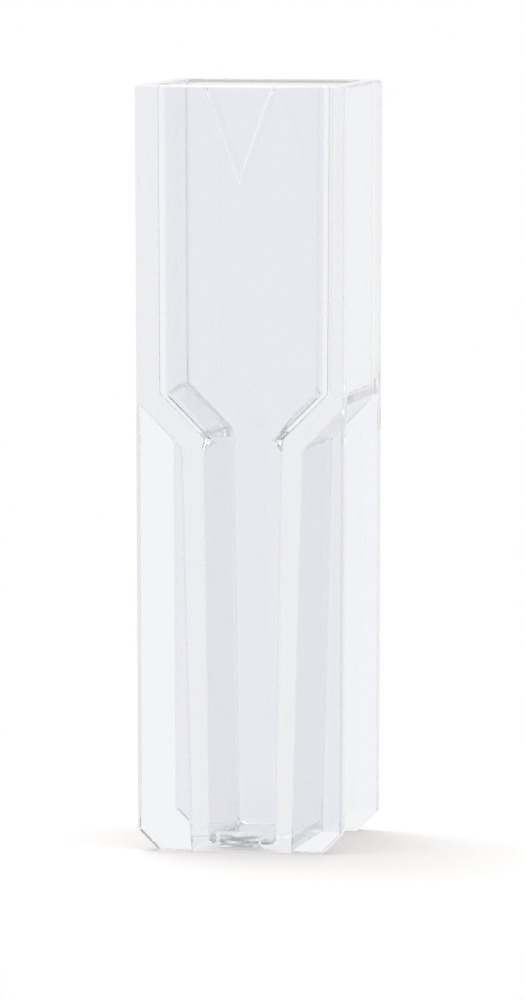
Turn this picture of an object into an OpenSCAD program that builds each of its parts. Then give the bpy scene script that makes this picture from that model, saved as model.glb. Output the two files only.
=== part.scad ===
// Semi-micro photometer cuvette, moulded in one piece in clear polystyrene.
// Millimetres. The origin is the centre of the foot, +Z runs up to the mouth,
// and the optical face that carries the orientation mark looks towards -Y.

/* [Outside] */
// Width at the mouth, over the two side faces
width = 12.5; // [12.3:0.1:12.7]
// Depth over the two optical faces
depth = 12.5; // [12.3:0.1:12.7]
// Height from the foot to the mouth
height = 45; // [42:0.5:48]
// Lean of each side face towards the foot, in degrees
side_draft = 0.2; // [0:0.05:0.3]
// Bevel on the lower corners of the two plates
foot_bevel = 1.2; // [0.6:0.1:1.6]

/* [Mouth cavity] */
// Distance between the inner faces of the two optical windows
light_path = 10; // [9.6:0.1:10.2]
// Thickness of each side wall at the mouth
side_wall = 1.07; // [0.9:0.01:1.3]
// Lean of each inner side face, in degrees
cavity_draft = 0.29; // [0.1:0.01:0.5]
// Radius down the inner corners of the mouth cavity
cavity_corner_r = 1.1; // [0.5:0.1:1.5]
// How much deeper than the chamber the mouth cavity is cut into each window
window_step = 0.06; // [0.02:0.02:0.12]

/* [Chamber] */
// Height above the foot at which the funnel meets the chamber
chamber_top = 24.2; // [22:0.1:26]
// Width of the chamber at its top
chamber_w = 4.9; // [4:0.1:5.4]
// Lean of each inner side face of the chamber, in degrees
chamber_draft = 0.87; // [0.5:0.01:1.2]
// Radius down the inner corners of the chamber
chamber_corner_r = 0.2; // [0.1:0.05:0.4]
// Radius along the two long edges of the chamber's floor
floor_edge_r = 0.4; // [0.2:0.1:0.8]
// Thickness of the chamber's side walls at the top
chamber_wall = 1.12; // [0.9:0.01:1.4]
// Thickness of the floor under the chamber
floor_t = 0.4; // [0.3:0.1:1.3]
// Angle of the funnel slopes from the vertical
funnel_angle = 45; // [40:1:50]
// Thickness of the sloped walls, square to the slope
funnel_wall = 1.13; // [0.9:0.01:1.4]

/* [Side channels] */
// Lean of the chamber's outer side faces, in degrees
channel_draft = 1.5; // [1:0.1:1.7]
// Lean of the inner faces of the two plates, in degrees
plate_draft = 0.3; // [0:0.05:0.5]

/* [Orientation mark] */
// Width of the raised triangle at the mouth
mark_w = 4.1; // [2:0.1:6]
// Height of the triangle, down from the mouth to its point
mark_h = 5.8; // [3:0.1:8]
// How far the triangle stands out at the mouth
mark_raise = 0.18; // [0.14:0.01:0.25]
// How far the triangle stands out at its point
mark_tip_raise = 0.1; // [0.05:0.01:0.13]
// Slope of the triangle's edges, in degrees from square to the face
mark_edge_slope = 50; // [30:5:60]

/* [Gate mark] */
// Width of the shallow recess for the gate, on the front face
gate_w = 2.8; // [2:0.1:3.5]
// Height of the recess
gate_h = 1; // [0.8:0.1:1.2]
// Height of the recess above the foot
gate_z = 0.25; // [0.2:0.05:0.4]
// Depth of the recess
gate_depth = 0.15; // [0.1:0.05:0.25]
// Diameter of the gate's stub, which stays below the face
stub_d = 0.7; // [0.5:0.1:0.8]

/* [Hidden] */
$fn = 64;
// Reach of a cutting shape beyond what it cuts
over = 1;
// Long enough to cross the whole part in any direction
across = height + width + depth;
mouth_half_depth = light_path / 2 + window_step;
chamber_half_depth = light_path / 2;
// The corners along the funnel slopes are a little tighter than those above them
funnel_corner_r = 0.9 * cavity_corner_r;
// The chamber runs up through the rounded corners of the funnel until it is clear of them
chamber_reach = chamber_top + funnel_corner_r / sin(funnel_angle) + over;
// The arcs of the floor bite this far into the side walls, so that the two meet at an edge
arc_bite = 0.002;
// The stub's end lies halfway up its recess
stub_drop = gate_depth / 2;

module cuvette() {
    color([0.86, 0.89, 0.92, 0.4])
    difference() {
        union() {
            body();
            orientation_mark();
        }
        mouth_cavity();
        chamber();
        for (side = [0, 1]) mirror([side, 0, 0]) side_channel();
        gate_recess();
    }
}

// The outline that both optical faces show, with leaning sides and a bevelled foot
module body() {
    lean = tan(side_draft);
    half_foot = width / 2 - height * lean;
    along_y(depth) polygon([
        [-half_foot + foot_bevel, 0],
        [half_foot - foot_bevel, 0],
        [half_foot + foot_bevel * lean, foot_bevel],
        [width / 2, height],
        [-width / 2, height],
        [-half_foot - foot_bevel * lean, foot_bevel],
    ]);
}

// A raised triangle on the front face, open at the mouth, with sloping edges.
// It stands out most at the mouth, so that it leaves the mould.
module orientation_mark() {
    arm_lean = atan(mark_w / 2 / mark_h);
    front_lean = atan((mark_raise - mark_tip_raise) / mark_h);
    intersection() {
        translate([0, -depth / 2 - mark_tip_raise, height - mark_h])
            rotate([front_lean, 0, 0])
            translate([-width / 2, 0, -over])
            cube([width, side_wall, mark_h + 2 * over]);
        for_both_arms()
            translate([0, -depth / 2, height - mark_h])
            rotate([0, arm_lean, 0])
            rotate([0, 0, -mark_edge_slope])
            translate([-width, -width / 2, -mark_h])
            cube([width, width, 3 * mark_h]);
        slab(height - mark_h - over, height);
    }
}

// What lies within the child and within its mirror image as well
module for_both_arms() {
    intersection_for(side = [0, 1]) mirror([side, 0, 0]) children();
}

// The space above the chamber: leaning side walls, and a funnel down to the chamber
module mouth_cavity() {
    intersection() {
        between_walls(width / 2 - side_wall, height, cavity_draft, mouth_half_depth, cavity_corner_r);
        between_walls(chamber_w / 2, chamber_top, funnel_angle, mouth_half_depth, funnel_corner_r);
        slab(chamber_top, height + over);
    }
}

// The narrow space that the light crosses
module chamber() {
    intersection() {
        between_walls(chamber_w / 2, chamber_top, chamber_draft, chamber_half_depth, chamber_corner_r);
        along_y(across) chamber_outline();
    }
}

// The chamber from the front, with the two edges of its floor rounded
module chamber_outline() {
    arc_z = floor_t + floor_edge_r;
    wall_x = chamber_w / 2 - (chamber_top - arc_z) * tan(chamber_draft);
    arc_x = wall_x - floor_edge_r / cos(chamber_draft) + arc_bite;
    // From an arc's centre, square through the side wall where the arc meets it
    past_x = arc_x + (floor_edge_r + over) * cos(chamber_draft);
    past_z = arc_z - (floor_edge_r + over) * sin(chamber_draft);
    polygon([
        [-arc_x, floor_t],
        [arc_x, floor_t],
        [arc_x, arc_z],
        [past_x, past_z],
        [past_x, chamber_reach],
        [-past_x, chamber_reach],
        [-past_x, past_z],
        [-arc_x, arc_z],
    ]);
    for (side = [-1, 1]) translate([side * arc_x, arc_z]) circle(r = floor_edge_r);
}

// The open groove on one side, between the two plates and under the sloped wall
module side_channel() {
    slope = [sin(funnel_angle), cos(funnel_angle)];
    // A point on the underside of the sloped wall
    under = [chamber_w / 2 + funnel_wall * slope[1], chamber_top - funnel_wall * slope[0]];
    // The chamber's outer face passes through this point
    root = [chamber_w / 2 + chamber_wall, chamber_top];
    lean = tan(channel_draft);
    along = (root[0] - under[0] + (under[1] - root[1]) * lean) / (slope[0] - slope[1] * lean);
    corner = under + along * slope;
    outer_end = corner + slope * width;
    // Half the room between the plates at the top and at the bottom of the cutting shape
    half_top = chamber_half_depth - (outer_end[1] - corner[1]) * tan(plate_draft);
    half_bottom = chamber_half_depth + (corner[1] + over) * tan(plate_draft);
    intersection() {
        along_y(across) polygon([
            [root[0] - (root[1] + over) * lean, -over],
            corner,
            outer_end,
            [outer_end[0], -over],
        ]);
        along_x(across) polygon([
            [-half_bottom, -over],
            [half_bottom, -over],
            [half_top, outer_end[1]],
            [-half_top, outer_end[1]],
        ]);
    }
}

// The shallow recess at the foot of the front face, with the gate's stub in it
module gate_recess() {
    difference() {
        translate([-gate_w / 2, -depth / 2 - over, gate_z]) cube([gate_w, over + gate_depth, gate_h]);
        translate([0, -depth / 2 + stub_drop, gate_z + gate_h / 2])
            rotate([-90, 0, 0])
            cylinder(d = stub_d, h = gate_depth);
    }
}

// The room between two walls that lean apart upwards, with round corners.
// Each wall stands half_w from the middle at height at_z.
module between_walls(half_w, at_z, lean, half_depth, corner_r) {
    intersection_for(side = [0, 1])
        mirror([side, 0, 0])
        translate([half_w, 0, at_z])
        rotate([0, lean, 0])
        translate([0, 0, -across])
        linear_extrude(height = 2 * across)
        round_ended(across, half_depth, corner_r);
}

// A strip that reaches back from x = 0, with its two corners at x = 0 rounded
module round_ended(reach, half_depth, corner_r) {
    translate([-reach, -half_depth]) square([reach - corner_r, 2 * half_depth]);
    translate([-reach, corner_r - half_depth]) square([reach, 2 * (half_depth - corner_r)]);
    for (side = [-1, 1])
        translate([-corner_r, side * (half_depth - corner_r)]) circle(r = corner_r);
}

// Everything between two heights
module slab(low, high) {
    translate([-across, -across, low]) cube([2 * across, 2 * across, high - low]);
}

// Extrudes an outline drawn in X and Z along Y
module along_y(length) {
    rotate([90, 0, 0]) linear_extrude(height = length, center = true) children();
}

// Extrudes an outline drawn in Y and Z along X
module along_x(length) {
    rotate([90, 0, 90]) linear_extrude(height = length, center = true) children();
}

cuvette();
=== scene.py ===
"""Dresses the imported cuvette: clear moulded polystyrene, a plain pale floor, soft light and the camera."""

import logging
import math
from dataclasses import dataclass, field
from enum import Enum

import bpy
import numpy as np
from mathutils import Matrix, Vector


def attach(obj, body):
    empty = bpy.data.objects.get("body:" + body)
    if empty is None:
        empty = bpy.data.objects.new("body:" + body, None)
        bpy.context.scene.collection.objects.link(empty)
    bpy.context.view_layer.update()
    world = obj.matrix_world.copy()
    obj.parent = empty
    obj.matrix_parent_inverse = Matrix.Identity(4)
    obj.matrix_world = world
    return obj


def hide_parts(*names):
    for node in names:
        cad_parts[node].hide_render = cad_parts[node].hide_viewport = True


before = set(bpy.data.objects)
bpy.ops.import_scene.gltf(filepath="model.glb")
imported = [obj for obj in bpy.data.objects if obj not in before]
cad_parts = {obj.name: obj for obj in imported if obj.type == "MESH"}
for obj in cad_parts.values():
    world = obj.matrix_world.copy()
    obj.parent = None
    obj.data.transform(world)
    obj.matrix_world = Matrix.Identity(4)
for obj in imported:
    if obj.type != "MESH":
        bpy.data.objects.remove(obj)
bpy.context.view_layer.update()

log = logging.getLogger("cuvette")

MM = 0.001
# Keeps the division by a zero vector's length finite
TINY = 1e-12


class Ray(Enum):
    """What a finish can ask about a ray, by its name on the Light Path node."""

    CAMERA = "Is Camera Ray"
    GLOSSY = "Is Glossy Ray"
    REFRACTED = "Is Transmission Ray"
    MATT_BEFORE = "Diffuse Depth"
    LENGTH = "Ray Length"


class Nodes:
    """A node tree that is written from left to right, one call for each node."""

    def __init__(self, owner: bpy.types.ID) -> None:
        """Empties the owner's tree.

        Args:
            owner: a material or a world.
        """
        owner.use_nodes = True
        self.tree = owner.node_tree
        self.tree.nodes.clear()

    def add(self, kind: str, inputs: dict | None = None, **settings: object) -> bpy.types.Node:
        """Adds one node.

        Args:
            kind: the node's type, without the word Node.
            inputs: a value or a socket to link, for each input by name or number.
            settings: the node's own settings.

        Returns:
            The node.
        """
        node = self.tree.nodes.new(kind)
        for name, value in settings.items():
            setattr(node, name, value)
        for key, value in (inputs or {}).items():
            if isinstance(value, bpy.types.NodeSocket):
                self.tree.links.new(value, node.inputs[key])
            else:
                node.inputs[key].default_value = value
        return node

    def math(self, operation: str, *values: object, clamp: bool = False) -> bpy.types.NodeSocket:
        """One sum on numbers or sockets.

        Args:
            operation: the name of the sum.
            values: its terms.
            clamp: keep the result from 0 to 1.

        Returns:
            The socket with the result.
        """
        inputs = dict(enumerate(values))
        return self.add("ShaderNodeMath", inputs, operation=operation, use_clamp=clamp).outputs[0]

    def smooth(self, value: object, start: float, end: float) -> bpy.types.NodeSocket:
        """Rises softly from 0 to 1 while a value goes from start to end.

        Args:
            value: the value.
            start: where the rise starts.
            end: where it ends.

        Returns:
            The socket with the result.
        """
        inputs = {"Value": value, "From Min": start, "From Max": end}
        return self.add("ShaderNodeMapRange", inputs, interpolation_type="SMOOTHSTEP").outputs[0]

    def mix(self, share: object, low: object, high: object) -> bpy.types.NodeSocket:
        """Mixes two colours.

        Args:
            share: 0 for the first, 1 for the second.
            low: the first colour.
            high: the second colour.

        Returns:
            The socket with the colour.
        """
        node = self.add("ShaderNodeMix", data_type="RGBA")
        for key, value in (("Factor", share), ("A", low), ("B", high)):
            socket = next(
                s for s in node.inputs if s.name == key and s.type in ("VALUE", "RGBA") and s.enabled
            )
            if isinstance(value, bpy.types.NodeSocket):
                self.tree.links.new(value, socket)
            else:
                socket.default_value = value if key == "Factor" else (*value, 1.0)
        return next(s for s in node.outputs if s.enabled)


@dataclass(frozen=True)
class ClearPlastic:
    """Moulded polystyrene: clear, with a cool grey at each surface and in the depth that is painted shade for
    darker surroundings seen through it, milky on the edges of the orientation mark, and with painted brown
    shade round the inner edge of the mouth."""

    name: str = "clear_polystyrene"
    # Painted shade: this grey and the absorption below stand in for darker surroundings seen through the
    # plastic; real polystyrene is clearer
    room_shade_grey: tuple[float, float, float] = (0.90, 0.905, 0.93)
    ior: float = 1.59
    depth_shade_colour: tuple[float, float, float] = (0.45, 0.45, 0.47)
    depth_shade_density: float = 10.0
    roughness: tuple[float, float] = (0.0, 0.02)
    haze_scale: float = 400.0
    haze_detail: float = 3.0
    haze_band: tuple[float, float] = (0.45, 0.8)
    matt_roughness: float = 0.06
    matt: str = "matt"
    milk: str = "milk"
    lip_shade: str = "lip_shade"
    # Painted shade: a brown that darkens the inner edge of the mouth
    lip_shade_colour: tuple[float, float, float] = (0.42, 0.375, 0.355)

    def build(self) -> bpy.types.Material:
        """Makes the material.

        Returns:
            The material.
        """
        material = bpy.data.materials.new(self.name)
        n = Nodes(material)
        place = n.add("ShaderNodeTexCoord").outputs["Object"]
        haze = n.add(
            "ShaderNodeTexNoise", {"Vector": place, "Scale": self.haze_scale, "Detail": self.haze_detail}
        ).outputs[0]
        low, high = self.roughness
        start, end = self.haze_band
        soft = n.add(
            "ShaderNodeMapRange",
            {"Value": haze, "From Min": start, "From Max": end, "To Min": low, "To Max": high},
        ).outputs[0]
        matt = n.add("ShaderNodeAttribute", attribute_name=self.matt).outputs["Fac"]
        milk = n.add("ShaderNodeAttribute", attribute_name=self.milk).outputs["Fac"]
        # Marks the mouth's inner edge, where the base colour gets the painted brown shade
        lip_shade = n.add("ShaderNodeAttribute", attribute_name=self.lip_shade).outputs["Fac"]
        rough = n.math("ADD", soft, n.math("MULTIPLY", matt, self.matt_roughness))
        clear = n.math("SUBTRACT", 1.0, milk, clamp=True)
        # The grey base colour is painted shade for the darker surroundings seen through the plastic
        plastic = n.add(
            "ShaderNodeBsdfPrincipled",
            {
                "Base Color": n.mix(lip_shade, self.room_shade_grey, self.lip_shade_colour),
                "IOR": self.ior,
                "Transmission Weight": clear,
                "Roughness": rough,
            },
        )
        # The absorption in the depth is painted shade too: it darkens the long paths through the plastic
        depth = n.add(
            "ShaderNodeVolumeAbsorption", {"Color": (*self.depth_shade_colour, 1.0), "Density": self.depth_shade_density}
        )
        n.add("ShaderNodeOutputMaterial", {"Surface": plastic.outputs[0], "Volume": depth.outputs[0]})
        return material


@dataclass(frozen=True)
class WhiteRoom:
    """What gloss and clear plastic show of the room: the same white that the camera sees, and a painted contact
    shadow, a slightly duller tone, where the foot touches the floor."""

    white: tuple[float, float, float] = (1.0, 1.0, 1.0)
    contact: float = 0.3 * MM
    # Painted contact shadow seen through the plastic under the foot
    foot_contact_shadow: tuple[float, float, float] = (0.92, 0.91, 0.9)

    def floor_colour(self, n: Nodes) -> bpy.types.NodeSocket:
        """The floor's colour, with a painted contact shadow within the contact distance of the foot.

        Args:
            n: the tree to write in.

        Returns:
            The socket with the colour.
        """
        length = n.add("ShaderNodeLightPath").outputs[Ray.LENGTH.value]
        # Painted contact shadow: rays that travel less than the contact distance from the foot see the duller
        # tone
        return n.mix(n.math("DIVIDE", length, self.contact, clamp=True), self.foot_contact_shadow, self.white)

    def share(self, n: Nodes) -> bpy.types.NodeSocket:
        """Picks the rays that come from gloss or clear plastic and haven't met a matt surface.

        Args:
            n: the tree to write in.

        Returns:
            The socket with 1 for such a ray and 0 for any other.
        """
        rays = n.add("ShaderNodeLightPath").outputs
        glossy = n.math("MAXIMUM", rays[Ray.GLOSSY.value], rays[Ray.REFRACTED.value])
        return n.math("SUBTRACT", glossy, rays[Ray.MATT_BEFORE.value], clamp=True)


@dataclass(frozen=True)
class PaleFloor:
    """A matt white floor with a little light of its own, which goes over to plain white away from the object.
    Gloss and clear plastic see it in the white room's colours."""

    name: str = "pale_floor"
    colour: tuple[float, float, float] = (0.8, 0.8, 0.8)
    own_light: tuple[float, float, float] = (0.24, 0.22, 0.21)
    white_from: float = 15.0 * MM
    white_at: float = 60.0 * MM
    room: WhiteRoom = WhiteRoom()

    def build(self) -> bpy.types.Material:
        """Makes the material.

        Returns:
            The material.
        """
        material = bpy.data.materials.new(self.name)
        n = Nodes(material)
        place = n.add("ShaderNodeTexCoord").outputs["Object"]
        distance = n.add("ShaderNodeVectorMath", {0: place}, operation="LENGTH").outputs["Value"]
        light = n.add("ShaderNodeEmission", {"Color": self.room.floor_colour(n), "Strength": 1.0})
        matt = n.add("ShaderNodeBsdfDiffuse", {"Color": (*self.colour, 1.0)})
        glow = n.add("ShaderNodeEmission", {"Color": (*self.own_light, 1.0), "Strength": 1.0})
        near = n.add("ShaderNodeAddShader", {0: matt.outputs[0], 1: glow.outputs[0]})
        away = n.smooth(distance, self.white_from, self.white_at)
        white = n.add("ShaderNodeEmission", {"Color": (*self.room.white, 1.0), "Strength": 1.0})
        lit = n.add("ShaderNodeMixShader", {0: away, 1: near.outputs[0], 2: white.outputs[0]})
        both = n.add("ShaderNodeMixShader", {0: self.room.share(n), 1: lit.outputs[0], 2: light.outputs[0]})
        n.add("ShaderNodeOutputMaterial", {0: both.outputs[0]})
        return material


@dataclass(frozen=True)
class SoftSky:
    """The room round the floor: white to the camera, gloss and clear plastic, and a plain light on matt
    surfaces."""

    name: str = "soft_sky"
    light: tuple[float, float, float] = (0.9, 0.9, 0.9)
    room: WhiteRoom = WhiteRoom()

    def build(self) -> bpy.types.World:
        """Makes the world.

        Returns:
            The world.
        """
        world = bpy.data.worlds.new(self.name)
        n = Nodes(world)
        colour = n.mix(self.room.share(n), self.light, self.room.white)
        white = n.mix(n.add("ShaderNodeLightPath").outputs[Ray.CAMERA.value], colour, self.room.white)
        background = n.add("ShaderNodeBackground", {"Color": white, "Strength": 1.0})
        n.add("ShaderNodeOutputWorld", {0: background.outputs[0]})
        return world


def arc_shares(steps: int) -> tuple[np.ndarray, np.ndarray]:
    """Points along a quarter circle: (1 - cos t, 1 - sin t) for t from 0 to a right angle.

    Args:
        steps: how many stretches the quarter has.

    Returns:
        The two coordinates of each point.
    """
    t = np.linspace(0.0, math.pi / 2, steps + 1)
    return 1.0 - np.cos(t), 1.0 - np.sin(t)


def rounded_line(corners: list[tuple[float, float, float]], steps: int = 6) -> np.ndarray:
    """A line through corners given as (height, reach, radius), with a circular arc at each inner corner.
    Each arc touches both stretches at radius * tan(turn / 2) from its corner.

    Args:
        corners: the corners, from the lowest up.
        steps: how many stretches each arc has.

    Returns:
        Rows of (height, reach), ordered by height.
    """
    points = np.array([c[:2] for c in corners])
    rows = [points[:1]]
    for before, here, after, (_, _, radius) in zip(points, points[1:], points[2:], corners[1:-1]):
        into, out = here - before, after - here
        into, out = into / np.hypot(*into), out / np.hypot(*out)
        turn = math.acos(float(np.clip(into @ out, -1.0, 1.0)))
        cut = radius * math.tan(turn / 2)
        side = np.array([-into[1], into[0]]) * math.copysign(1.0, into[0] * out[1] - into[1] * out[0])
        t = np.linspace(0.0, turn, steps + 1)[:, None]
        rows.append(here - cut * into + radius * (np.sin(t) * into + (1.0 - np.cos(t)) * side))
    rows.append(points[-1:])
    return np.concatenate(rows)


def eased(value: np.ndarray, low: float, high: float) -> np.ndarray:
    """0 below low, 1 above high, and 3 t^2 - 2 t^3 between them."""
    t = np.clip((value - low) / (high - low), 0.0, 1.0)
    return t * t * (3.0 - 2.0 * t)


def joined(stretches: list[tuple[np.ndarray, np.ndarray]], z: np.ndarray) -> np.ndarray:
    """Joins stretches of x and y into whole outlines.

    Args:
        stretches: x and y for each row and column of each stretch.
        z: the heights, one for each row.

    Returns:
        An array of rows, columns and the three coordinates.
    """
    x, y = (np.concatenate(part, axis=1) for part in zip(*stretches))
    return np.stack([x, y, z[:, None] + 0 * x], axis=-1)


@dataclass
class CuvetteBody:
    """The one moulded piece, in millimetres, in the CAD model's frame.

    The outside and the inside are each a stack of closed outlines, one for every height. The outside's
    outline is an H whose side channels close up under the sloped walls; the inside's is a rectangle with
    round corners. A flat rim joins the two at the mouth, and a flat face closes each one below.
    """

    node: str = "cuvette"
    slot: str = "clear_polystyrene"
    finish: ClearPlastic = field(default_factory=ClearPlastic)
    # The outside
    half_width: float = 6.25
    half_depth: float = 6.25
    height: float = 45.0
    side_lean: float = math.tan(math.radians(0.2))
    foot_bevel: float = 1.2
    # The mouth cavity and the funnel. The rear corners tighten over the rise and widen again between the
    # ends, which are counted from the top of the chamber like every pair of ends below
    cavity_half: float = 5.18
    cavity_lean: float = math.tan(math.radians(0.29))
    cavity_corner: float = 1.1
    rear_funnel_corner: float = 0.99
    funnel_corner_rise: float = 1.8
    funnel_corner_ends: tuple[float, float] = (2.4, 6.5)
    window: float = 5.06
    # The chamber, and the small step from the mouth cavity's windows to its own. The floor's tuck is how
    # much of its rounding the windows share
    chamber_top: float = 24.2
    chamber_half: float = 2.45
    chamber_lean: float = math.tan(math.radians(0.87))
    chamber_corner: float = 0.2
    chamber_corner_ends: tuple[float, float] = (-0.75, 0.1)
    chamber_window: float = 5.0
    step_ends: tuple[float, float] = (-0.3, 0.2)
    rear_step_rise: float = 6.0
    floor: float = 0.4
    floor_round: float = 0.4
    floor_tuck: float = 0.3
    # The side channels
    wall_half: float = 3.57
    wall_lean: float = math.tan(math.radians(1.5))
    slope_wall: float = 1.13
    plate_lean: float = math.tan(math.radians(0.3))
    # Radii of the bends, as seen from the front
    under_slope_round: float = 0.35
    shoulder_round: float = 0.22
    bevel_round: float = 0.2
    throat_round: float = 0.18
    funnel_round: float = 0.35
    # Radii of the edges. A channel's corner takes up at most the named share of the channel's depth, and an
    # outer corner loses the named share of what its outline is drawn in, down to the least radius
    edge: float = 0.16
    rear_edge: float = 0.06
    rim_edge: float = 0.18
    foot_edge: float = 0.07
    flattest_corner: float = 0.45
    drawn_corner: tuple[float, float] = (0.9, 0.02)
    # The orientation mark
    mark_half: float = 2.16
    mark_height: float = 6.0
    mark_raise: tuple[float, float] = (0.1, 0.16)
    mark_edge: float = 0.24
    # The gate's recess and its torn stub, with each wave's size, its turns along x and z and its start
    gate_half: float = 1.4
    gate_low: float = 0.25
    gate_high: float = 1.25
    gate_depth: float = 0.14
    gate_round: float = 0.3
    stub_rise: float = 0.09
    stub_spread: tuple[float, float] = (0.85, 0.38)
    torn_rise: float = 0.014
    torn_waves: tuple[tuple[float, float, float, float], ...] = (
        (1.0, 3.1, 12.0, 0.6),
        (1.0, -2.3, 17.0, 2.1),
        (0.7, 8.0, -5.0, 0.0),
    )
    # Where the finish is matt or milky, and where brown shade is painted on the mouth's inner edge. The painted
    # shade's rows are counted down from the mouth, and the pairs of two numbers are where |n_y| or 1 - |n_y|
    # starts and stops to matter
    polished: tuple[float, float] = (0.3, 0.97)
    inside_matt: float = 0.2
    milky_slope: tuple[float, float] = (0.02, 0.2)
    lip_shade_rows: tuple[int, int] = (1, 5)
    lip_shade_slope: tuple[float, float] = (0.1, 0.3)
    # The mesh's columns, round each outline
    corner_steps: int = 8
    middle_columns: int = 29
    straight_columns: int = 7
    rear_span: float = 0.8
    pairing_margin: float = 1.04
    mark_columns: tuple[float, ...] = (-0.06, -0.02, 0.25, 0.5, 0.75, 1.02, 1.1, 1.3)
    narrow_columns: tuple[float, float] = (0.09, 0.03)
    gate_columns: tuple[float, float] = (0.35, 0.04)
    column_counts: list[int] = field(default_factory=list, init=False)
    # The mesh's rows, as where a stretch starts, where it ends and how many it has. Starts and ends are
    # heights, apart from these: the foot's start is counted from the foot's rounded edge, the plain face's
    # end, both ends at the tip and the mark's start from the mark's tip, the mark's end from the rim's
    # rounded edge, and the throat's from the top of the chamber
    rim_steps: int = 4
    foot_rows: tuple[float, float, int] = (0.02, 1.6, 26)
    plain_rows: tuple[float, float, int] = (2.5, -0.4, 8)
    tip_rows: tuple[float, float, int] = (-0.2, 0.8, 11)
    mark_rows: tuple[float, float, int] = (1.2, -0.05, 9)
    throat_rows: tuple[tuple[float, float, int], ...] = (
        (-1.1, 1.6, 28),
        (-0.3, 0.3, 21),
        (1.8, 4.0, 12),
        (4.3, 6.6, 8),
    )
    wall_rows: tuple[float, ...] = (1.5, 8.0, 15.0, 21.0, 31.0, 36.0, 41.0)
    below_rim: float = 0.05
    closing_weight: float = 1e6

    def wall_line(self) -> np.ndarray:
        """The outer face between the plates, from the foot to the mouth: the chamber's wall, the underside
        of the sloped wall, then the side face.

        Returns:
            Rows of (height, reach from the middle).
        """
        under = self.chamber_half + self.slope_wall * math.sqrt(2.0) - self.chamber_top
        corner = (self.wall_half - self.chamber_top * self.wall_lean - under) / (1.0 - self.wall_lean)
        foot_side = self.half_width - self.height * self.side_lean
        top = (foot_side - under) / (1.0 - self.side_lean)
        return rounded_line(
            [
                (0.0, self.wall_half - self.chamber_top * self.wall_lean, 0.0),
                (corner, under + corner, self.under_slope_round),
                (top, under + top, self.shoulder_round),
                (self.height, self.half_width, 0.0),
            ]
        )

    def side_line(self) -> np.ndarray:
        """The plates' edges from the foot to the mouth, with the bevel at the foot.

        Returns:
            Rows of (height, reach from the middle).
        """
        foot_side = self.half_width - self.height * self.side_lean
        return rounded_line(
            [
                (0.0, foot_side - self.foot_bevel, 0.0),
                (self.foot_bevel, foot_side + self.foot_bevel * self.side_lean, self.bevel_round),
                (self.height, self.half_width, 0.0),
            ]
        )

    def inner_line(self) -> np.ndarray:
        """The inner side faces from the chamber's floor to the mouth.

        Returns:
            Rows of (height, reach from the middle).
        """
        bottom = self.chamber_half - (self.chamber_top - self.floor) * self.chamber_lean
        at_foot = self.cavity_half - self.height * self.cavity_lean
        top_height = (at_foot - self.chamber_half + self.chamber_top) / (1.0 - self.cavity_lean)
        return rounded_line(
            [
                (self.floor, bottom, 0.0),
                (self.chamber_top, self.chamber_half, self.throat_round),
                (top_height, self.chamber_half + top_height - self.chamber_top, self.funnel_round),
                (self.height, self.cavity_half, 0.0),
            ]
        )

    def front_columns(self, z: np.ndarray) -> np.ndarray:
        """Where the outline's points on the front face lie: beside the mark they follow its sloping edges,
        x = ((z - tip) sin a - d) / cos a for a fixed distance d inside the edge, and down the face they
        slide along it to the gate's recess.

        Args:
            z: the heights, one for each row.

        Returns:
            x for each row and column.
        """
        tip = self.height - self.mark_height
        lean = math.atan2(self.mark_half, self.mark_height)
        depth_in = np.array(self.mark_columns) * self.mark_edge
        narrow = np.linspace(*self.narrow_columns, depth_in.size)
        along = np.clip(z - tip, 0.0, None)[:, None]
        arm = np.maximum((along * math.sin(lean) - depth_in) / math.cos(lean), narrow)
        at_gate = np.linspace(*(self.gate_half + past for past in self.gate_columns), depth_in.size)
        slide = np.clip((tip - z) / (tip - 2.0 * self.gate_high), 0.0, 1.0)[:, None]
        arm = arm + (at_gate - arm) * slide
        middle = np.linspace(-1.0, 1.0, self.middle_columns + 2)[1:-1] * arm[:, -1:]
        return np.concatenate([-arm, middle, arm[:, ::-1]], axis=1)

    def front_relief(self, x: np.ndarray, z: np.ndarray) -> np.ndarray:
        """How far the front face stands out. The mark rises over the width of its sloping edge, a little more
        towards the mouth; the gate's recess goes in, with a torn stub in the middle that is an oval hump
        under three crossing waves, each size * sin(a x + b z + start).

        Args:
            x: the points' places across the face.
            z: their heights.

        Returns:
            The relief in millimetres, outwards.
        """
        tip = self.height - self.mark_height
        lean = math.atan2(self.mark_half, self.mark_height)
        inside = (z - tip) * math.sin(lean) - np.abs(x) * math.cos(lean)
        low, high = self.mark_raise
        raised = (low + (high - low) * np.clip((z - tip) / self.mark_height, 0.0, 1.0)) * eased(
            inside, 0.0, self.mark_edge
        )
        middle = (self.gate_low + self.gate_high) / 2
        sunk = (
            eased(self.gate_half - np.abs(x), 0.0, self.gate_round)
            * eased(z, self.gate_low, self.gate_low + self.gate_round)
            * eased(self.gate_high - z, 0.0, self.gate_round)
        )
        across, up = self.stub_spread
        spread = (x / across) ** 2 + ((z - middle) / up) ** 2
        stub = self.stub_rise * np.exp(-(spread**2))
        torn = self.torn_rise * sum(
            size * np.sin(a * x + b * z + start) for size, a, b, start in self.torn_waves
        )
        return raised - sunk * (self.gate_depth - stub - torn)

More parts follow.
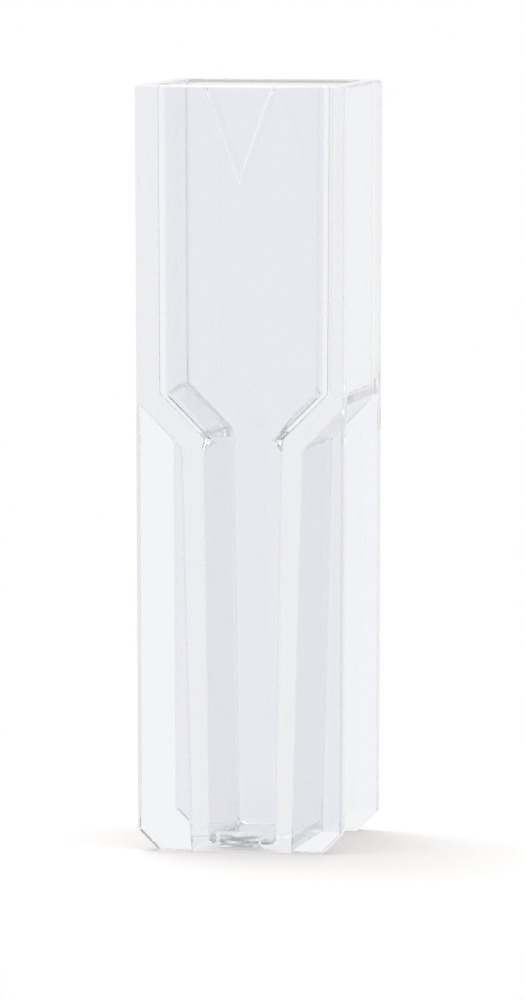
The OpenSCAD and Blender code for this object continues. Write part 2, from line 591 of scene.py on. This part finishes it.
    def outer_rows(self) -> tuple[np.ndarray, np.ndarray]:
        """Where the outside's outlines lie: close together at the gate, at each bend and round the mark's tip.

        Returns:
            The heights, and how far each outline is drawn in to round the foot and the rim.
        """
        tip = self.height - self.mark_height
        drawn, rise = arc_shares(self.rim_steps)
        foot = np.stack([rise * self.foot_edge, drawn * self.foot_edge], axis=1)
        rim = np.stack([self.height - rise * self.rim_edge, drawn * self.rim_edge], axis=1)
        above_foot, foot_top, foot_count = self.foot_rows
        plain_from, below_tip, plain_count = self.plain_rows
        above_tip, mark_end, mark_count = self.mark_rows
        between = np.concatenate(
            [
                np.linspace(self.foot_edge + above_foot, foot_top, foot_count),
                self.side_line()[1:-1, 0],
                self.wall_line()[1:-1, 0],
                np.linspace(plain_from, tip + below_tip, plain_count),
                tip + np.linspace(*self.tip_rows),
                np.linspace(tip + above_tip, self.height - self.rim_edge + mark_end, mark_count),
            ]
        )
        rows = np.concatenate([foot, np.stack([between, np.zeros_like(between)], axis=1), rim])
        rows = rows[np.lexsort((rows[:, 1] * np.where(rows[:, 0] > tip, 1.0, -1.0), rows[:, 0]))]
        return rows[:, 0], rows[:, 1]

    def side_outline(self, z: np.ndarray, drawn: np.ndarray) -> tuple[np.ndarray, np.ndarray]:
        """One side of the outside's outline, from the front corner to the rear one: plate edge, round corner,
        channel side, round root, channel wall, and the same back. Where the channel is shallow its corners
        keep their width along y and flatten in x, so that they vanish into the side face.

        Args:
            z: the heights, one for each row.
            drawn: how far each row is drawn in.

        Returns:
            x and y for each row and column, without the plates' outer corners.
        """
        side_line, wall_line = self.side_line(), self.wall_line()
        side = np.interp(z, side_line[:, 0], side_line[:, 1])[:, None]
        wall = np.minimum(np.interp(z, wall_line[:, 0], wall_line[:, 1])[:, None], side)
        depth = side - wall
        side, wall = side - drawn[:, None], wall - drawn[:, None]
        corner_height = wall_line[1:-1, 0].min()
        inner = self.chamber_window + (corner_height - z)[:, None] * self.plate_lean + drawn[:, None]
        away, along = arc_shares(self.corner_steps)
        flat = np.minimum(self.edge, self.flattest_corner * depth)
        lip_x, lip_y = side - flat * away, inner + self.edge * along
        root_x, root_y = wall + flat * along, inner - self.edge * away
        half_x = np.concatenate([lip_x, root_x], axis=1)
        half_y = np.concatenate([lip_y, root_y], axis=1)
        middle = np.linspace(-1.0, 1.0, self.straight_columns)[None, 1:-1] * root_y[:, -1:]
        x = np.concatenate([half_x, wall + 0.0 * middle, half_x[:, ::-1]], axis=1)
        y = np.concatenate([-half_y, middle, half_y[:, ::-1]], axis=1)
        return x, y

    def corners(
        self, x: np.ndarray, y: np.ndarray, radius: np.ndarray
    ) -> dict[str, tuple[np.ndarray, np.ndarray]]:
        """The four round corners of a stack of rectangles, in the order front right, rear right, rear left,
        front left, each running anticlockwise.

        Args:
            x: half the width, for each row.
            y: half the depth, for each row.
            radius: the corners' radius, for each row.

        Returns:
            x and y for each row and column, by the corner's name.
        """
        t = np.linspace(0.0, math.pi / 2, self.corner_steps + 1)[None, :]
        r = radius[:, None]
        cx, cy = x[:, None] - r, y[:, None] - r
        sine, cosine = np.sin(t), np.cos(t)
        return {
            "front_right": (cx + r * sine, -cy - r * cosine),
            "rear_right": (cx + r * cosine, cy + r * sine),
            "rear_left": (-cx - r * sine, cy + r * cosine),
            "front_left": (-cx - r * cosine, -cy - r * sine),
        }

    def outside(self) -> np.ndarray:
        """The outside's outlines.

        Returns:
            An array of rows, columns and the three coordinates.
        """
        z, drawn = self.outer_rows()
        side_line = self.side_line()
        side = np.interp(z, side_line[:, 0], side_line[:, 1]) - drawn
        depth = self.half_depth - drawn
        shrink, least = self.drawn_corner
        radius = np.maximum(self.edge - shrink * drawn, least)
        rear_radius = np.minimum(radius, self.rear_edge)
        front = self.corners(side, depth, radius)
        rear = self.corners(side, depth, rear_radius)
        front_x = self.front_columns(z)
        front_y = -depth[:, None] - self.front_relief(front_x, z[:, None] + 0 * front_x)
        right_x, right_y = self.side_outline(z, drawn)
        rear_x = np.linspace(self.rear_span, -self.rear_span, self.straight_columns)[None, :] * side[:, None]
        stretches = [
            (front_x, front_y),
            front["front_right"],
            (right_x, right_y),
            rear["rear_right"],
            (rear_x, depth[:, None] + 0 * rear_x),
            rear["rear_left"],
            (-right_x[:, ::-1], right_y[:, ::-1]),
            front["front_left"],
        ]
        self.column_counts = [x.shape[1] for x, _ in stretches]
        return joined(stretches, z)

    def above_chamber(self, z: np.ndarray, start: float, end: float) -> np.ndarray:
        """Rises softly from 0 to 1 between two heights, both counted from the top of the chamber."""
        return eased(z, self.chamber_top + start, self.chamber_top + end)

    def inner_rows(self) -> np.ndarray:
        """Heights of the inside's outlines between the rim and the chamber's floor, from the top down.

        Returns:
            The heights.
        """
        throat = [
            np.linspace(self.chamber_top + start, self.chamber_top + end, count)
            for start, end, count in self.throat_rows
        ]
        highest = self.height - self.rim_edge - self.below_rim
        heights = np.concatenate([self.inner_line()[1:-1, 0], *throat, self.wall_rows, [highest]])
        return np.unique(np.round(heights, 5))[::-1]

    def inside(self, mouth: np.ndarray) -> np.ndarray:
        """The inside's outlines, from the mouth down to the chamber's floor. The front corners' radius eases
        from the mouth cavity's to the chamber's, and the rear corners' is a little less in the funnel between.

        Args:
            mouth: the outside's highest outline, whose points the inside's are paired with.

        Returns:
            An array of rows, columns and the three coordinates.
        """
        line = self.inner_line()
        flare, drop = arc_shares(self.rim_steps)
        rim = self.height - drop[::-1] * self.rim_edge
        rim_out = flare[::-1] * self.rim_edge
        bend = np.linspace(0.0, math.pi / 2, self.corner_steps + 1)
        low = self.floor + self.floor_round * (1.0 - np.sin(bend))
        low_in = self.floor_round * (1.0 - np.cos(bend))
        heights = self.inner_rows()
        z = np.concatenate([rim, heights, low])
        out = np.concatenate([rim_out, np.zeros(heights.size + low.size)])
        tuck = np.concatenate([np.zeros(rim_out.size + heights.size), low_in])
        half = np.interp(z, line[:, 0], line[:, 1]) + out - tuck
        step = self.above_chamber(z, *self.step_ends)
        rear_step = self.above_chamber(z, 0.0, self.rear_step_rise)
        deeper = self.window - self.chamber_window
        window = self.chamber_window + deeper * step + out - self.floor_tuck * tuck
        from_chamber = self.above_chamber(z, *self.chamber_corner_ends)
        in_funnel = self.above_chamber(z, 0.0, self.funnel_corner_rise)
        in_funnel = in_funnel * (1.0 - self.above_chamber(z, *self.funnel_corner_ends))
        rear_wide = self.cavity_corner + (self.rear_funnel_corner - self.cavity_corner) * in_funnel
        front_r = self.chamber_corner + (self.cavity_corner - self.chamber_corner) * from_chamber
        rear_r = self.chamber_corner + (rear_wide - self.chamber_corner) * from_chamber
        front, rear = self.corners(half, window, front_r), self.corners(half, window, rear_r)
        shares = self.straight_shares(mouth)
        near, far = window[:, None], half[:, None]
        left_y, right_y = (
            np.where(share > 0.0, near - rear_r[:, None], near - front_r[:, None]) * share
            for share in (shares[3], shares[1])
        )
        stretches = [
            ((half - front_r)[:, None] * shares[0], -near + 0 * shares[0]),
            front["front_right"],
            (far + 0 * shares[1], right_y),
            rear["rear_right"],
            ((half - rear_r)[:, None] * shares[2], near + 0 * shares[2]),
            rear["rear_left"],
            (-far + 0 * shares[3], left_y),
            front["front_left"],
        ]
        rows = joined(stretches, z)
        rear_in = deeper * (step - rear_step)
        rows[..., 1] -= rear_in[:, None] * np.clip(rows[..., 1] / near, 0.0, 1.0)
        return rows

    def straight_shares(self, mouth: np.ndarray) -> list[np.ndarray]:
        """Where the points of each straight side lie between its corners.

        Args:
            mouth: the outline whose points they are paired with.

        Returns:
            For each of the four sides, shares from -1 to 1.
        """
        edges = np.cumsum([0, *self.column_counts])
        shares = []
        for side in range(4):
            values = mouth[edges[2 * side] : edges[2 * side + 1], side % 2]
            shares.append((values / (np.abs(values).max() * self.pairing_margin))[None, :])
        return shares

    def mesh(self) -> bpy.types.Mesh:
        """Joins the outlines into one closed surface.

        Returns:
            The mesh, in metres, with smooth normals that the larger faces settle. Each point says how matt
            and how milky it is, and whether it lies on the mouth's inner edge.
        """
        outside = self.outside()
        rows = np.concatenate([outside, self.inside(outside[-1])])
        count, columns = rows.shape[:2]
        index = np.arange(count * columns).reshape(count, columns)
        low, high = index[:-1], index[1:]
        quads = np.stack([low, np.roll(low, -1, 1), np.roll(high, -1, 1), high], axis=-1).reshape(-1, 4)
        faces = [index[0][::-1].tolist(), index[-1].tolist(), *quads.tolist()]
        mesh = bpy.data.meshes.new(self.node + "_body")
        mesh.from_pydata((rows.reshape(-1, 3) * MM).tolist(), [], faces)
        mesh.validate()
        mesh.shade_smooth()
        normals = self.normals(rows, quads)
        mesh.normals_split_custom_set_from_vertices(normals.tolist())
        facing = np.abs(normals[:, 1])
        matt = 1.0 - eased(facing, *self.polished)
        matt[outside.shape[0] * columns :] *= self.inside_matt
        # The rows of the mouth's inner edge, whose points get the painted brown shade
        lip_shade = np.zeros((count, columns))
        first, last = (outside.shape[0] + row for row in self.lip_shade_rows)
        lip_shade[first:last] = 1.0
        shares = {
            self.finish.matt: matt,
            self.finish.milk: self.milk(rows).ravel(),
            self.finish.lip_shade: lip_shade.ravel() * eased(facing, *self.lip_shade_slope),
        }
        for name, values in shares.items():
            mesh.attributes.new(name, "FLOAT", "POINT").data.foreach_set("value", values)
        return mesh

    def normals(self, rows: np.ndarray, quads: np.ndarray) -> np.ndarray:
        """Each point's normal: the sum of its faces' normals, each times the cube of the face's area, so that a
        large flat face stays flat up to its rounded edges. The faces that close the foot and the floor count
        more than any other.

        Args:
            rows: the outlines.
            quads: the faces between them.

        Returns:
            Unit vectors, one for each point.
        """
        points = rows.reshape(-1, 3)
        a, b, c, d = (points[quads[:, i]] for i in range(4))
        cross = np.cross(c - a, d - b)
        cross *= np.linalg.norm(cross, axis=1, keepdims=True) ** 2
        total = np.zeros_like(points)
        for i in range(4):
            np.add.at(total, quads[:, i], cross)
        columns = rows.shape[1]
        total[:columns] += (0.0, 0.0, -self.closing_weight)
        total[-columns:] += (0.0, 0.0, self.closing_weight)
        return total / np.linalg.norm(total, axis=1, keepdims=True)

    def milk(self, rows: np.ndarray) -> np.ndarray:
        """How milky each point is: the sloping edges on the front face, from how far a face's normal turns
        away from the front, 1 - |n_y|.

        Args:
            rows: the outlines.

        Returns:
            A share from 0 to 1 for each point.
        """
        front = rows[:, : self.column_counts[0] + 1]
        a, b, c, d = front[:-1, :-1], front[:-1, 1:], front[1:, 1:], front[1:, :-1]
        normal = np.cross(c - a, d - b)
        normal /= np.maximum(np.linalg.norm(normal, axis=-1, keepdims=True), TINY)
        share = np.zeros(rows.shape[:2])
        share[:-1, : self.column_counts[0]] = eased(1.0 - np.abs(normal[..., 1]), *self.milky_slope)
        return share

    def build(self) -> bpy.types.Object:
        """Makes the piece in place of the plain CAD solid.

        Returns:
            The piece's object.
        """
        mesh = self.mesh()
        mesh.materials.append(self.finish.build())
        piece = bpy.data.objects.new("cuvette_body", mesh)
        bpy.context.scene.collection.objects.link(piece)
        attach(piece, "root")
        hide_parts(self.node)
        log.info("%s: %d faces in %s", piece.name, len(mesh.polygons), self.finish.name)
        return piece


@dataclass
class Floor:
    """The floor under the object: a flat disc, much wider than the object."""

    radius: float = 3.0
    drop: float = 0.02 * MM
    rings: int = 24
    spokes: int = 96
    finish: PaleFloor = field(default_factory=PaleFloor)

    def build(self) -> bpy.types.Object:
        """Makes the disc: a point of ring i and spoke j lies at radius r(i), which grows with the square
        of i, and at angle 2 pi j / spokes.

        Returns:
            The floor's object.
        """
        share = np.linspace(0.0, 1.0, self.rings + 1)[1:, None] ** 2
        angle = np.arange(self.spokes)[None, :] * (2 * math.pi / self.spokes)
        x, y = self.radius * share * np.cos(angle), self.radius * share * np.sin(angle)
        points = np.stack([x, y, np.full_like(x, -self.drop)], axis=-1).reshape(-1, 3)
        index = np.arange(self.rings * self.spokes).reshape(self.rings, self.spokes)
        inner, outer = index[:-1], index[1:]
        quads = np.stack([inner, outer, np.roll(outer, -1, 1), np.roll(inner, -1, 1)], axis=-1)
        faces = [index[0].tolist(), *quads.reshape(-1, 4).tolist()]
        mesh = bpy.data.meshes.new("floor")
        mesh.from_pydata(points.tolist(), [], faces)
        mesh.materials.append(self.finish.build())
        floor = bpy.data.objects.new("floor", mesh)
        bpy.context.scene.collection.objects.link(floor)
        log.info("floor: radius %.1f m", self.radius)
        return floor


@dataclass
class SoftBox:
    """One rectangular lamp that looks at a point."""

    name: str
    place: tuple[float, float, float]
    target: tuple[float, float, float]
    size: tuple[float, float]
    power: float
    colour: tuple[float, float, float] = (1.0, 1.0, 1.0)

    def build(self) -> bpy.types.Object:
        """Makes the lamp.

        Returns:
            The lamp's object.
        """
        data = bpy.data.lights.new(self.name, "AREA")
        data.shape = "RECTANGLE"
        data.size, data.size_y = self.size
        data.energy = self.power
        data.color = self.colour
        lamp = bpy.data.objects.new(self.name, data)
        lamp.location = self.place
        aim = Vector(self.target) - Vector(self.place)
        lamp.rotation_euler = aim.to_track_quat("-Z", "Y").to_euler()
        bpy.context.scene.collection.objects.link(lamp)
        log.info("%s: %.2f W", self.name, self.power)
        return lamp


@dataclass
class ProductCamera:
    """The camera: a long lens, a little above the object and to its right."""

    azimuth: float = math.radians(10.974)
    distance: float = 506.1 * MM
    height: float = 62.36 * MM
    yaw: float = math.radians(-0.019)
    pitch: float = math.radians(4.755)
    lens: float = 308.588
    sensor: float = 36.0
    clip: tuple[float, float] = (0.05, 20.0)

    def build(self) -> bpy.types.Object:
        """Makes the camera and sets it as the scene's.

        Returns:
            The camera's object.
        """
        data = bpy.data.cameras.new("camera")
        data.sensor_fit = "VERTICAL"
        data.sensor_height = data.sensor_width = self.sensor
        data.lens = self.lens
        data.clip_start, data.clip_end = self.clip
        camera = bpy.data.objects.new("camera", data)
        turn = self.azimuth + self.yaw
        level, down = math.cos(self.pitch), -math.sin(self.pitch)
        ahead = Vector((-math.sin(turn) * level, math.cos(turn) * level, down))
        right = Vector((math.cos(turn), math.sin(turn), 0.0))
        up = right.cross(ahead)
        stand = Matrix((right, up, -ahead)).transposed().to_4x4()
        aside, back = self.distance * math.sin(self.azimuth), self.distance * math.cos(self.azimuth)
        stand.translation = (aside, -back, self.height)
        camera.matrix_world = stand
        bpy.context.scene.collection.objects.link(camera)
        bpy.context.scene.camera = camera
        log.info("camera: %.0f mm lens, %.0f mm away", self.lens, self.distance / MM)
        return camera


@dataclass
class Studio:
    """The floor, the lamps, the sky and how deep rays go into clear plastic."""

    floor: Floor = field(default_factory=Floor)
    sky: SoftSky = field(default_factory=SoftSky)
    lamps: tuple[SoftBox, ...] = (
        SoftBox("key_left", (-0.26, 0.28, 0.75), (0.0, 0.0, 0.0), (0.5, 0.5), 1.9, (0.97, 0.99, 1.0)),
        SoftBox("fill_right", (0.65, -0.4, 0.4), (0.0, 0.0, 0.02), (0.5, 0.5), 0.5, (1.0, 0.98, 0.96)),
    )
    bounces: int = 96

    def build(self) -> None:
        """Makes the studio and the render settings that clear plastic needs."""
        scene = bpy.context.scene
        self.floor.build()
        for lamp in self.lamps:
            lamp.build()
        scene.world = self.sky.build()
        scene.view_settings.view_transform = "Standard"
        scene.cycles.max_bounces = self.bounces
        scene.cycles.transmission_bounces = self.bounces
        scene.cycles.glossy_bounces = self.bounces
        scene.cycles.caustics_reflective = True
        scene.cycles.caustics_refractive = True


def main() -> None:
    """Dresses the cuvette, then sets the studio and the camera round it."""
    logging.basicConfig(level=logging.INFO, format="%(name)s: %(message)s")
    CuvetteBody().build()
    Studio().build()
    ProductCamera().build()


if __name__ == "__main__":
    main()
